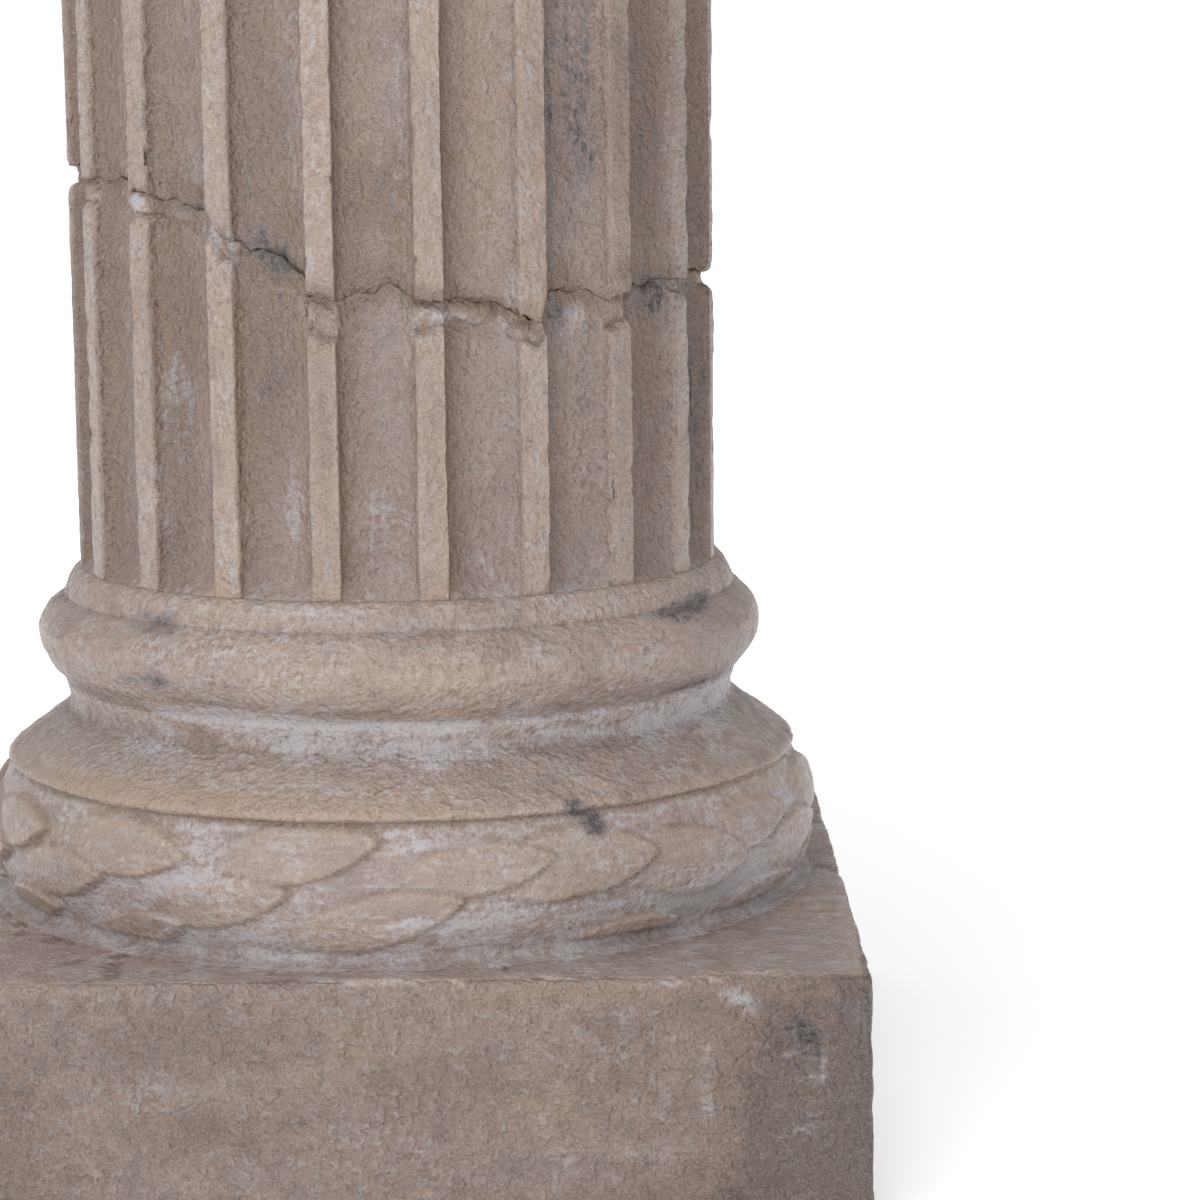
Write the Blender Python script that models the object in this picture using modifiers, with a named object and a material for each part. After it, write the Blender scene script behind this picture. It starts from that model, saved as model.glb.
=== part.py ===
"""Decorative pillar: a square plinth and moulded base with a laurel roll, a fluted shaft in two lengths that
meet at a ragged break, and a plain moulded cap.

Metres, +Z up. The origin is at the middle of the plinth's underside, and the front of the pillar faces -Y.
Angles round the pillar start at the front and grow towards +X.
"""

import math

import bmesh
import bpy
import numpy as np

# Driving sizes
PLINTH_SIDE = 0.400
PLINTH_HEIGHT = 0.104
PLINTH_EDGE_WEAR = 0.004
SHAFT_RADIUS = 0.143
SHAFT_LENGTH = 0.6538
JOINT_GAP = 0.0003

# The turned base, from the plinth up: heights of its mouldings and how far each stands out
LAUREL_ROLL_HEIGHT = 0.0595
LAUREL_ROLL_FOOT_RADIUS = 0.1768
LAUREL_ROLL_BULGE = 0.0080
GROOVE_DEPTH = 0.0012
BAND_HEIGHT = 0.0045
BAND_RADIUS = 0.1776
SLOPE_HEIGHT = 0.0190
NECK_RADIUS = 0.1495
HOLLOW_HEIGHT = 0.0090
UPPER_BAND_HEIGHT = 0.0048
UPPER_BAND_RADIUS = 0.1516
SMALL_ROLL_HEIGHT = 0.0310
SMALL_ROLL_BULGE = 0.0113
RING_HEIGHT = 0.0178
RING_LINE_DEPTH = 0.0010
TURNED_STEPS = 78
ROOT_IN_PLINTH = 0.006

# The laurel leaves of one third of the roll: where the tip points, how high it sits on the roll, how much the
# leaf climbs towards its tip, and its length and half width
LEAF_RELIEF = 0.0042
LEAF_SECTORS = 3
LEAVES = (
    # tip angle in degrees, tip height, climb in degrees, length, half width
    (-26.2, 0.0166, 16.0, 0.070, 0.0110),
    (-25.9, 0.0443, 0.0, 0.075, 0.0125),
    (-11.4, 0.0328, 11.0, 0.070, 0.0110),
    (0.3, 0.0537, 9.0, 0.078, 0.0125),
    (11.0, 0.0295, 14.0, 0.080, 0.0120),
    (22.9, 0.0443, 6.0, 0.070, 0.0110),
    (29.0, 0.0310, 0.0, 0.045, 0.0060),
    (37.9, 0.0410, 1.0, 0.075, 0.0145),
    (42.6, 0.0095, 8.0, 0.070, 0.0095),
    (54.9, 0.0294, -6.0, 0.075, 0.0150),
    (67.0, 0.0450, 5.0, 0.072, 0.0115),
    (70.0, 0.0130, 9.0, 0.070, 0.0100),
    (80.5, 0.0320, 6.0, 0.070, 0.0115),
)

# The flutes
FLUTES = 20
FILLET_WIDTH = 0.0120
FLUTE_DEPTH = 0.0095
FLUTE_SECTION = ((0.0, 0.0), (0.12, 0.72), (0.5, 1.0), (0.88, 0.72))

# The break: its height above the shaft's foot, from the front round to the back
BREAK_COURSE = (
    # degrees, height
    (-150.0, 0.1800),
    (-115.0, 0.1880),
    (-80.0, 0.1770),
    (-48.0, 0.1710),
    (-29.0, 0.1600),
    (-18.0, 0.1440),
    (-9.0, 0.1270),
    (2.0, 0.1275),
    (12.0, 0.1220),
    (26.0, 0.1160),
    (34.0, 0.1240),
    (56.0, 0.1265),
    (80.0, 0.1300),
    (112.0, 0.1330),
    (140.0, 0.1500),
    (168.0, 0.1730),
)
BREAK_TOOTH = 0.0022
LOWER_LIP_WEAR = 0.0052
LOWER_LIP_HEIGHT = 0.0150
UPPER_LIP_WEAR = 0.0022
UPPER_LIP_HEIGHT = 0.0030
BREAK_CORE_SHARE = 0.55

# The cap
CAP_RING_HEIGHT = 0.0130
CAP_RING_OUT = 0.0070
CAP_NECK_HEIGHT = 0.0120
CAP_NECK_OUT = 0.0015
CAP_SWELL_HEIGHT = 0.0310
CAP_SWELL_OUT = 0.0290
ABACUS_SIDE = 0.372
ABACUS_HEIGHT = 0.0400
CAP_STEPS = 54
ROOT_IN_ABACUS = 0.004

ARC_STEPS = 6
WEAR_SEGMENTS = 2


def clear_scene():
    for thing in list(bpy.data.objects):
        bpy.data.objects.remove(thing, do_unlink=True)


def finish(name, colour, roughness):
    """A painted stone finish."""
    material = bpy.data.materials.new(name)
    material.use_nodes = True
    shader = material.node_tree.nodes["Principled BSDF"]
    shader.inputs["Base Color"].default_value = (*colour, 1.0)
    shader.inputs["Roughness"].default_value = roughness
    shader.inputs["Metallic"].default_value = 0.0
    return material


def add_object(name, mesh, collection, material=None):
    thing = bpy.data.objects.new(name, mesh)
    collection.objects.link(thing)
    if material:
        mesh.materials.append(material)
    return thing


def arc(centre, radii, start, stop, steps=ARC_STEPS):
    """Points of an elliptic arc, as (radius, height), from one angle to another in degrees."""
    angles = np.radians(np.linspace(start, stop, steps))
    return [(centre[0] + radii[0] * math.cos(a), centre[1] + radii[1] * math.sin(a)) for a in angles]


def turned(name, profile, steps, collection):
    """The solid that a profile of (radius, height) points, run from top to bottom, makes round the Z axis."""
    mesh = bpy.data.meshes.new(name)
    mesh.from_pydata([(r, 0.0, z) for r, z in profile], [(i, i + 1) for i in range(len(profile) - 1)], [])
    thing = add_object(name, mesh, collection)
    screw = thing.modifiers.new("turn", "SCREW")
    screw.axis = "Z"
    screw.steps = steps
    screw.render_steps = steps
    screw.use_merge_vertices = True
    screw.merge_threshold = 0.00005
    return thing


def made_solid(thing):
    """Turns an object's modifiers into its own mesh."""
    graph = bpy.context.evaluated_depsgraph_get()
    whole = bpy.data.meshes.new_from_object(thing.evaluated_get(graph))
    thing.modifiers.clear()
    thing.data = whole
    return thing


def block(name, side, low, high, wear, collection, material=None):
    """A square block between two heights, with its edges worn round."""
    form = bmesh.new()
    bmesh.ops.create_cube(form, size=1.0)
    for vertex in form.verts:
        vertex.co.x *= side
        vertex.co.y *= side
        vertex.co.z = low if vertex.co.z < 0 else high
    mesh = bpy.data.meshes.new(name)
    form.to_mesh(mesh)
    form.free()
    thing = add_object(name, mesh, collection, material)
    bevel = thing.modifiers.new("worn edges", "BEVEL")
    bevel.width = wear
    bevel.segments = WEAR_SEGMENTS
    return thing


def join_with(thing, other):
    union = thing.modifiers.new("one casting", "BOOLEAN")
    union.operation = "UNION"
    union.object = other
    other.hide_render = True
    other.display_type = "WIRE"


def base_levels():
    """The heights above the plinth where one moulding of the base ends and the next begins."""
    steps = (
        LAUREL_ROLL_HEIGHT, BAND_HEIGHT, SLOPE_HEIGHT, HOLLOW_HEIGHT, UPPER_BAND_HEIGHT, SMALL_ROLL_HEIGHT, RING_HEIGHT
    )
    return np.cumsum(steps)


def base_profile():
    """The outline of the turned base, from its top disc down to its root inside the plinth."""
    roll, band, slope, hollow, upper_band, small_roll, top = base_levels()
    small_half = SMALL_ROLL_HEIGHT / 2
    small_centre = small_roll - small_half
    ring_foot = UPPER_BAND_RADIUS + SMALL_ROLL_BULGE * 0.72
    line = small_roll + RING_HEIGHT * 0.50
    line_radius = (SHAFT_RADIUS + ring_foot) / 2
    points = [(0.0, top), (SHAFT_RADIUS, top)]
    points += arc(
        (SHAFT_RADIUS, line + RING_LINE_DEPTH), (line_radius - SHAFT_RADIUS, top - line - RING_LINE_DEPTH), 75, 0, 4
    )
    points += [(line_radius - RING_LINE_DEPTH, line), (line_radius + RING_LINE_DEPTH / 2, line - RING_LINE_DEPTH)]
    points += [(ring_foot, small_roll - small_half * 0.28)]
    points += arc((UPPER_BAND_RADIUS, small_centre), (SMALL_ROLL_BULGE, small_half), 34, -84, ARC_STEPS + 1)
    points += [(UPPER_BAND_RADIUS, upper_band), (UPPER_BAND_RADIUS - GROOVE_DEPTH, hollow)]
    points += [(NECK_RADIUS, (hollow + slope) / 2), (NECK_RADIUS + GROOVE_DEPTH, slope + GROOVE_DEPTH)]
    points += [(BAND_RADIUS - GROOVE_DEPTH, band + GROOVE_DEPTH), (BAND_RADIUS, band)]
    points += [(BAND_RADIUS, (band + roll) / 2), (BAND_RADIUS - GROOVE_DEPTH, roll)]
    points += arc(
        (LAUREL_ROLL_FOOT_RADIUS, roll / 2), (LAUREL_ROLL_BULGE, roll / 2), 72, -86, 2 * ARC_STEPS
    )
    points += [(LAUREL_ROLL_FOOT_RADIUS, -ROOT_IN_PLINTH), (0.0, -ROOT_IN_PLINTH)]
    return points


def leaf_relief(angle, height):
    """How far the laurel stands out, for arrays of angles (degrees) and heights on the roll: each leaf is a
    pointed oval that rises from its root to its tip, and the highest leaf shows."""
    relief = np.zeros(np.shape(angle))
    along_roll = LAUREL_ROLL_FOOT_RADIUS + LAUREL_ROLL_BULGE
    for sector in range(LEAF_SECTORS):
        for tip, tip_height, climb, length, half_width in LEAVES:
            back = (tip + sector * 360 / LEAF_SECTORS - angle + 180) % 360 - 180
            x = np.radians(back) * along_roll
            y = height - tip_height
            turn = math.radians(climb)
            behind = x * math.cos(turn) - y * math.sin(turn)
            across = x * math.sin(turn) + y * math.cos(turn)
            share = np.clip(behind / length, 0, 1)
            edge = half_width * np.sqrt(np.clip(1 - (1 - np.clip(share / 0.5, 0, 1)) ** 2, 0, 1))
            inside = (behind > 0) & (behind < length) & (np.abs(across) < edge)
            relief = np.where(inside, np.maximum(relief, LEAF_RELIEF * (1 - 0.8 * share)), relief)
    return relief


def carve_leaves(thing):
    """Moves the roll's points outwards by the height of the leaves there."""
    mesh = thing.data
    points = np.empty(len(mesh.vertices) * 3)
    mesh.vertices.foreach_get("co", points)
    points = points.reshape(-1, 3)
    radius = np.hypot(points[:, 0], points[:, 1])
    angle = np.degrees(np.arctan2(points[:, 0], -points[:, 1]))
    height = points[:, 2] - PLINTH_HEIGHT
    on_roll = (height > 0) & (height < LAUREL_ROLL_HEIGHT - GROOVE_DEPTH) & (radius > NECK_RADIUS)
    out = 1 + np.where(on_roll, leaf_relief(angle, height) / np.maximum(radius, NECK_RADIUS), 0)
    points[:, :2] *= out[:, None]
    mesh.vertices.foreach_set("co", points.ravel())
    mesh.update()


def make_base(collection, helpers, material):
    profile = [(r, PLINTH_HEIGHT + z) for r, z in base_profile()]
    mouldings = made_solid(turned("base_mouldings", profile, TURNED_STEPS, helpers))
    carve_leaves(mouldings)
    base = block("base", PLINTH_SIDE, 0.0, PLINTH_HEIGHT, PLINTH_EDGE_WEAR, collection, material)
    join_with(base, mouldings)
    return base


def section_angles():
    """Angles round the fluted section, in degrees, and how deep the flute is at each."""
    pitch = 360 / FLUTES
    fillet = math.degrees(FILLET_WIDTH / SHAFT_RADIUS)
    angles, depths = [], []
    for flute in range(FLUTES):
        start = (flute - 0.5) * pitch + fillet / 2
        for share, depth in FLUTE_SECTION + ((1.0, 0.0),):
            angles.append(start + share * (pitch - fillet))
            depths.append(depth * FLUTE_DEPTH)
    return np.array(angles), np.array(depths)


def break_height(angle):
    """Height of the break above the shaft's foot: a smooth course round the pillar, and small teeth on it."""
    course = np.array(BREAK_COURSE)
    course = np.vstack([course - (360, 0), course, course + (360, 0)])
    wrapped = (angle + 180) % 360 - 180
    teeth = np.sin(np.radians(13 * angle)) + 0.7 * np.sin(np.radians(29 * angle + 40))
    return np.interp(wrapped, course[:, 0], course[:, 1]) + BREAK_TOOTH * teeth / 2


def ring(angle, radius, height):
    turn = np.radians(angle)
    return np.column_stack([radius * np.sin(turn), -radius * np.cos(turn), height * np.ones(len(angle))])


def loft(name, rings, low_centre, high_centre, collection, material):
    """A solid through rings of as many points each, from the lowest ring up, closed by a fan at each end. Each
    panel between two rings is parted from its outer ring's first point, so that two lengths that share a break
    have the same facets there."""
    form = bmesh.new()
    rows = [[form.verts.new(point) for point in points] for points in rings]
    count = len(rows[0])
    for below, above in zip(rows, rows[1:]):
        narrows = below[0].co.xy.length > above[0].co.xy.length
        for i in range(count):
            j = (i + 1) % count
            if narrows:
                form.faces.new((below[i], below[j], above[j]))
                form.faces.new((below[i], above[j], above[i]))
            else:
                form.faces.new((above[i], below[i], below[j]))
                form.faces.new((above[i], below[j], above[j]))
    for row, centre, up in ((rows[0], low_centre, False), (rows[-1], high_centre, True)):
        middle = form.verts.new(centre)
        for i in range(count):
            edge = (row[i], row[(i + 1) % count])
            form.faces.new((*edge, middle) if up else (*reversed(edge), middle))
    mesh = bpy.data.meshes.new(name)
    form.to_mesh(mesh)
    form.free()
    thing = add_object(name, mesh, collection, material)
    mesh.shade_smooth()
    mesh.set_sharp_from_angle(angle=math.radians(28))
    return thing


def make_shaft(collection, material):
    """The two lengths of the shaft, which share the break between them."""
    angle, depth = section_angles()
    outer = SHAFT_RADIUS - depth
    foot = PLINTH_HEIGHT + base_levels()[-1] + JOINT_GAP
    head = foot + SHAFT_LENGTH
    crack = foot + break_height(angle)
    middle = crack.mean()
    core = middle + (crack - middle) * BREAK_CORE_SHARE
    core_radius = BREAK_CORE_SHARE * SHAFT_RADIUS
    lower = (
        ring(angle, outer, foot),
        ring(angle, outer, crack - LOWER_LIP_HEIGHT),
        ring(angle, outer - LOWER_LIP_WEAR * 0.55, crack - LOWER_LIP_HEIGHT * 0.35),
        ring(angle, outer - LOWER_LIP_WEAR, crack),
        ring(angle, core_radius, core),
    )
    upper = (
        ring(angle, core_radius, core + JOINT_GAP),
        ring(angle, outer - LOWER_LIP_WEAR, crack + JOINT_GAP),
        ring(angle, outer - UPPER_LIP_WEAR, crack + JOINT_GAP + UPPER_LIP_HEIGHT / 4),
        ring(angle, outer, crack + JOINT_GAP + UPPER_LIP_HEIGHT),
        ring(angle, outer, head),
    )
    loft("shaft_lower", lower, (0, 0, foot), (0, 0, middle), collection, material)
    loft("shaft_upper", upper, (0, 0, middle + JOINT_GAP), (0, 0, head), collection, material)
    return head


def cap_profile(foot):
    """The outline of the turned part of the cap, from its root in the abacus down to the shaft."""
    ring_radius = SHAFT_RADIUS + CAP_RING_OUT
    neck_radius = SHAFT_RADIUS + CAP_NECK_OUT
    ring_half = CAP_RING_HEIGHT / 2
    neck = foot + CAP_RING_HEIGHT
    swell = neck + CAP_NECK_HEIGHT
    top = swell + CAP_SWELL_HEIGHT
    points = [(0.0, top + ROOT_IN_ABACUS), (neck_radius + CAP_SWELL_OUT, top + ROOT_IN_ABACUS)]
    points += arc((neck_radius, top), (CAP_SWELL_OUT, CAP_SWELL_HEIGHT), 0, -80)
    points += [(neck_radius, swell - CAP_NECK_HEIGHT * 0.1), (neck_radius, neck + CAP_NECK_HEIGHT * 0.1)]
    points += arc((ring_radius - ring_half, foot + ring_half), (ring_half, ring_half), 80, -80)
    points += [(neck_radius - ring_half, foot), (0.0, foot)]
    return points, top


def make_cap(shaft_head, collection, helpers, material):
    profile, top = cap_profile(shaft_head + JOINT_GAP)
    mouldings = turned("cap_mouldings", profile, CAP_STEPS, helpers)
    cap = block("cap", ABACUS_SIDE, top, top + ABACUS_HEIGHT, PLINTH_EDGE_WEAR, collection, material)
    join_with(cap, mouldings)


def main():
    clear_scene()
    pillar = bpy.data.collections.new("decorative_pillar")
    helpers = bpy.data.collections.new("joined_forms")
    bpy.context.scene.collection.children.link(pillar)
    bpy.context.scene.collection.children.link(helpers)
    painted_stone = finish("painted_stone", (0.42, 0.34, 0.27), 0.62)
    fluted_stone = finish("fluted_stone", (0.40, 0.33, 0.28), 0.60)
    make_base(pillar, helpers, painted_stone)
    head = make_shaft(pillar, fluted_stone)
    make_cap(head, pillar, helpers, painted_stone)


main()
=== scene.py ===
# %% [markdown]
# A decorative pillar in aged, painted stone.
#
# The real pillar is a cast: a square plinth and a moulded base in one, a fluted shaft that has broken
# right through and been set back together, and a plain cap. A brush has worked several thin paints into
# it, so every surface shows dimples, strokes and stains.
#
# This lesson builds its surfaces as grids of points with numpy, puts the wear into the shape first, and
# paints afterwards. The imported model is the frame: it says how big each piece is and where it stands.

# %% Load the frame
import math

import bpy
import numpy as np
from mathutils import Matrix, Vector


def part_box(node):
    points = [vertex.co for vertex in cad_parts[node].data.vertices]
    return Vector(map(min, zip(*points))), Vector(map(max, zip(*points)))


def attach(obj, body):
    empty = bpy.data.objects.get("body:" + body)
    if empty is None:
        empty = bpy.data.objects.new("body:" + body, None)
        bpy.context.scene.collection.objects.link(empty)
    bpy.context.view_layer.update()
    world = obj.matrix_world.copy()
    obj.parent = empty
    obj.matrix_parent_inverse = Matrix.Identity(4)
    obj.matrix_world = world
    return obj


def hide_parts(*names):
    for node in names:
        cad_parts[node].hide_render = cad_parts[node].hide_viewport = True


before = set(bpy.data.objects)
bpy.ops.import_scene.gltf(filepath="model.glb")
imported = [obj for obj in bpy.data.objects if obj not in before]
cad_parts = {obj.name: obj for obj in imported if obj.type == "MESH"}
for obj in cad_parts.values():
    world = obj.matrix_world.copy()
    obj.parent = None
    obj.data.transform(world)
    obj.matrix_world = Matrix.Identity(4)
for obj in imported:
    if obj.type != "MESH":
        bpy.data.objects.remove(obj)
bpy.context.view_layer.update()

print("the frame holds", ", ".join(sorted(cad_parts)))

# %% [markdown]
# The camera comes first, so that every later choice can be judged in the photograph's view. It stands
# low, a little to the right of the pillar, about 1.6 m away, and looks down by less than nine degrees
# through a long lens, which is why the plinth's sides stay upright. The photograph leans by half a
# degree.

# %% Camera at the photograph's viewing angle
CAMERA_PLACE = (0.0906, -1.5678, 0.4674)
CAMERA_LOOKS_DOWN = math.degrees(0.1516)
CAMERA_LEAN = -math.degrees(0.0111)
LENS = 104.78
FILM_WIDTH = 36.0

lens = bpy.data.cameras.new("camera")
lens.lens = LENS
lens.sensor_width = FILM_WIDTH
lens.clip_end = 60.0
camera = bpy.data.objects.new("camera", lens)
bpy.context.scene.collection.objects.link(camera)
camera.rotation_mode = "XYZ"
camera.matrix_world = (
    Matrix.Translation(CAMERA_PLACE)
    @ Matrix.Rotation(math.radians(90 - CAMERA_LOOKS_DOWN), 4, "X")
    @ Matrix.Rotation(math.radians(CAMERA_LEAN), 4, "Z")
)
bpy.context.scene.camera = camera
print("camera", CAMERA_PLACE, "lens", LENS)

# %% [markdown]
# Sizes. The outer sizes come from the frame, so the skins that follow sit exactly where the solids are.
# The mouldings, flutes and leaves keep the sizes that the solids were made from. Everything is in metres,
# except the tables of small forms and stains, which are in millimetres. Heights on the base count from
# the top of the plinth, and angles start at the front and grow towards +X.

# %% Sizes from the frame
MM = 0.001
cap_low, cap_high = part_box("cap")
PLINTH_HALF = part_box("base")[1].x
PLINTH_HEIGHT = 0.104
SHAFT_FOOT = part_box("shaft_lower")[0].z
SHAFT_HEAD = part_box("shaft_upper")[1].z
SHAFT_RADIUS = 0.143
CAP_FOOT = cap_low.z
CAP_TOP = cap_high.z
ABACUS_HALF = cap_high.x
ABACUS_HEIGHT = 0.040
print(f"plinth {2 * PLINTH_HALF:.3f} wide, shaft {SHAFT_FOOT:.4f} to {SHAFT_HEAD:.4f}, top at {CAP_TOP:.3f}")

# %% [markdown]
# Two helpers carry all the surfaces. The first lays a closed skin over a grid of points: rows run from
# the top down, columns run once round the pillar, and a fan closes each end. The second gives the outward
# direction at every point of such a grid, as the cross product of its steps down and round, and
# everything that swells or wears is a move along that direction.

# %% A closed skin over a grid
def skin(name, grid, top, bottom, paints):
    """A closed mesh over a (rows, columns, 3) grid that goes once round. Rows run down, columns from the
    front towards +X, so that faces turn outwards. The fans at its ends meet in the points top and bottom.
    The sides are shaded smooth and the fans flat, which keeps the rims between them crisp."""
    rows, columns = grid.shape[:2]
    points = np.concatenate([grid.reshape(-1, 3), [top, bottom]])
    at = np.arange(rows * columns).reshape(rows, columns)
    right = np.roll(at, -1, axis=1)
    quads = np.stack([at[:-1], at[1:], right[1:], right[:-1]], axis=-1).reshape(-1, 4)
    crown = np.stack([np.full(columns, len(points) - 2), at[0], right[0]], axis=-1)
    foot = np.stack([at[-1], np.full(columns, len(points) - 1), right[-1]], axis=-1)
    mesh = bpy.data.meshes.new(name)
    mesh.from_pydata(points, [], quads.tolist() + crown.tolist() + foot.tolist())
    mesh.polygons.foreach_set("use_smooth", (np.arange(len(mesh.polygons)) < len(quads)).tolist())
    for paint, amount in paints.items():
        values = np.concatenate([np.broadcast_to(amount, (rows, columns)).ravel(), [0.0, 0.0]])
        layer = mesh.attributes.new(paint, "FLOAT", "POINT")
        layer.data.foreach_set("value", values.astype(np.float32))
    piece = bpy.data.objects.new(name, mesh)
    bpy.context.scene.collection.objects.link(piece)
    print(f"{name}: {rows} rows of {columns}, {2 * len(quads) + 2 * columns} triangles")
    return piece


def outward(grid):
    """Unit normals of a closed grid: the step down the rows crossed with the step round the columns."""
    down = np.gradient(grid, axis=0)
    around = np.roll(grid, -1, axis=1) - np.roll(grid, 1, axis=1)
    normal = np.cross(down, around)
    return normal / np.maximum(np.linalg.norm(normal, axis=-1, keepdims=True), 1e-12)


def mean_around(values, reach):
    """The mean of each cell's four neighbours, reach cells away, on a grid that closes round its
    columns."""
    beside = np.roll(values, reach, 1) + np.roll(values, -reach, 1)
    padded = np.pad(values, ((reach, reach), *((0, 0),) * (values.ndim - 1)), mode="edge")
    return (beside + padded[2 * reach:] + padded[:-2 * reach]) / 4


def hollowness(grid, reach, full):
    """How sunken each point is: how far the mean of its neighbours, reach cells away, stands above it
    along the normal, as a share of full. Raised points come out negative."""
    above = np.sum((mean_around(grid, reach) - grid) * outward(grid), axis=-1)
    return np.clip(above / full, -1, 1)


# %% [markdown]
# Wear needs noise. Random numbers sit on a cubic lattice, and each point blends the eight around it with
# an S-shaped weight. Layers of it, each half as large and half as strong, give stone its mixture of broad
# waves and small lumps. A ridged version, one minus the size of the noise, gives the worm-like strokes of
# a stiff brush.

# %% Noise worked out as whole arrays
LATTICE = 48
LAYER_SHIFT = 7.3
NOISE_GAIN = 1.6
RIDGE_SHARPNESS = 2.2
lattice_numbers = np.random.default_rng(20).uniform(-1, 1, (LATTICE, LATTICE, LATTICE))


def lumps(points, size, layers=1, shift=0.0):
    """Smooth noise between about -1 and 1 whose lumps are size metres wide. shift, in lattice cells,
    picks another stretch of the same random numbers."""
    total, strength, weight = 0.0, 0.0, 1.0
    for layer in range(layers):
        place = points / size * 2**layer + shift + LAYER_SHIFT * layer
        cell = np.floor(place).astype(int)
        share = place - cell
        share = share * share * share * (share * (share * 6 - 15) + 10)
        value = 0.0
        for corner in range(8):
            step = np.array([corner & 1, corner >> 1 & 1, corner >> 2 & 1])
            near = np.prod(np.where(step, share, 1 - share), axis=-1)
            index = (cell + step) % LATTICE
            value = value + near * lattice_numbers[index[..., 0], index[..., 1], index[..., 2]]
        total = total + weight * value
        strength += weight
        weight /= 2
    return NOISE_GAIN * total / strength


def ridges(points, size, shift=0.0):
    """Worm-like ridges between 0 and 1: one where the noise crosses zero."""
    return 1 - np.minimum(np.abs(lumps(points, size, 1, shift)) * RIDGE_SHARPNESS, 1)


def smooth(low, high, value):
    """0 below low, 1 above high, and an S-curve between them."""
    share = np.clip((value - low) / (high - low), 0, 1)
    return share * share * (3 - 2 * share)


def bell(across, up):
    """A soft spot: 1 in the middle, falling off as a bell curve."""
    return np.exp(-(across**2 + up**2))


def arc(angle, start, radius):
    """How far round a circle each angle lies from a start, both in degrees, as a signed length."""
    return np.radians((angle - start + 180) % 360 - 180) * radius


def places(angle, height, spots):
    """The sum of soft oval spots. Each spot is an angle in degrees, a height, a half width and a half
    height in millimetres and a strength in percent."""
    total = 0.0
    for spot_angle, spot_height, half_width, half_height, strength in spots:
        across = arc(angle, spot_angle, SHAFT_RADIUS)
        up = height - spot_height * MM
        total = total + strength / 100 * bell(across / (half_width * MM), up / (half_height * MM))
    return np.clip(total, 0, 1)


# %% [markdown]
# The dappled finish is the same on every piece, so one function gives the depth of it: slow waves from
# the casting, lumps of a few millimetres, and brush ridges. The finest grain is left to the paint's bump.

# %% The wear that all pieces share
WAVE_SIZE, WAVE_DEPTH = 0.050, 0.0005
LUMP_SIZE, LUMP_DEPTH = 0.0080, 0.00036
BRUSH_SIZE, BRUSH_DEPTH = 0.0065, 0.00022
PIT_SIZE, PIT_DEPTH = 0.0120, 0.0006


def dappled(points, shift):
    """Depth of the finish in metres: waves plus lumps plus brush ridges, less rare small pits."""
    pits = smooth(0.72, 1.00, lumps(points, PIT_SIZE, 2, shift + 31))
    return (
        WAVE_DEPTH * lumps(points, WAVE_SIZE, 2, shift)
        + LUMP_DEPTH * lumps(points, LUMP_SIZE, 2, shift + 11)
        + BRUSH_DEPTH * (ridges(points, BRUSH_SIZE, shift + 17) - 0.5)
        - PIT_DEPTH * pits
    )


# %% [markdown]
# The moulded base. On the real pillar a template was dragged round the wet mass, so its surface is one
# outline turned round the axis. The outline goes down from the shaft's seat: a rounded ring with a
# scratched line, a slope into a small roll, a narrow band, a hollow neck that flares out to a flat band,
# and the large roll that carries the laurel. Each moulding is its own soft curve through a few points, so
# the corners between mouldings stay crisp.

# %% The base's outline
BASE_MOULDINGS = (
    # Points of (radius, height above the plinth) in mm, from the top down, one group for each moulding
    ((140, 145.9), (143.4, 145.9)),
    ((143.4, 145.9), (145.5, 145), (147.6, 142.8), (149.2, 139.8), (150.3, 136.8), (151, 134.5)),
    ((151, 134.5), (150.7, 133.7), (151.8, 133)),
    ((151.8, 133), (153.8, 132), (156, 130.4), (158.4, 128)),
    (
        (158.4, 128), (161, 124.2), (162.6, 119.6), (162.7, 115), (161.4, 110), (158.3, 104.6),
        (154.6, 100.1), (151.8, 96.9),
    ),
    ((151.8, 96.9), (150.4, 96), (151.3, 95.1)),
    ((151.3, 95.1), (151, 93.4), (150.2, 90.8)),
    ((150.2, 90.8), (149.4, 87.6), (149.6, 84.8), (150.9, 82.6), (153, 80.8)),
    ((153, 80.8), (155.6, 78.8), (159, 76.2), (163, 73.3), (167.4, 70.3), (172, 67.2)),
    ((172, 67.2), (176.2, 64), (177.6, 62.2), (177.5, 60.9)),
    ((177.5, 60.9), (175.7, 59.7), (176.4, 58.3)),
    (
        (176.4, 58.3), (178.4, 54), (180.8, 48.6), (183.1, 42), (184.3, 34), (184, 25), (182.7, 16.5),
        (180.6, 10), (179, 6),
    ),
    ((179, 6), (179.2, 4), (180.6, 2.2), (183.2, 1), (187, 0.3)),
)
ROW_STEP = 0.0019
LEAF_STEP, LEAVES_BELOW = 0.0014, 0.0590


def soft_curve(knots, step):
    """Points about step apart on the Catmull-Rom curve through the knots: a cubic between each two, whose
    slope at a knot runs parallel to the line that joins its neighbours."""
    knots = np.array(knots) * MM
    ends = np.vstack([2 * knots[0] - knots[1], knots, 2 * knots[-1] - knots[-2]])
    stretches = []
    for a, b, c, d in zip(ends, ends[1:], ends[2:], ends[3:]):
        count = max(1, round(float(np.hypot(*(c - b))) / step))
        t = (np.arange(count) / count)[:, None]
        stretches.append(
            b + 0.5 * t * ((c - a) + t * ((2 * a - 5 * b + 4 * c - d) + t * (3 * (b - c) + d - a)))
        )
    return np.concatenate(stretches)


base_outline = np.concatenate([
    soft_curve(knots, ROW_STEP if knots[0][1] * MM > LEAVES_BELOW else LEAF_STEP) for knots in BASE_MOULDINGS
])
print("the base's outline has", len(base_outline), "points")

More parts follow.
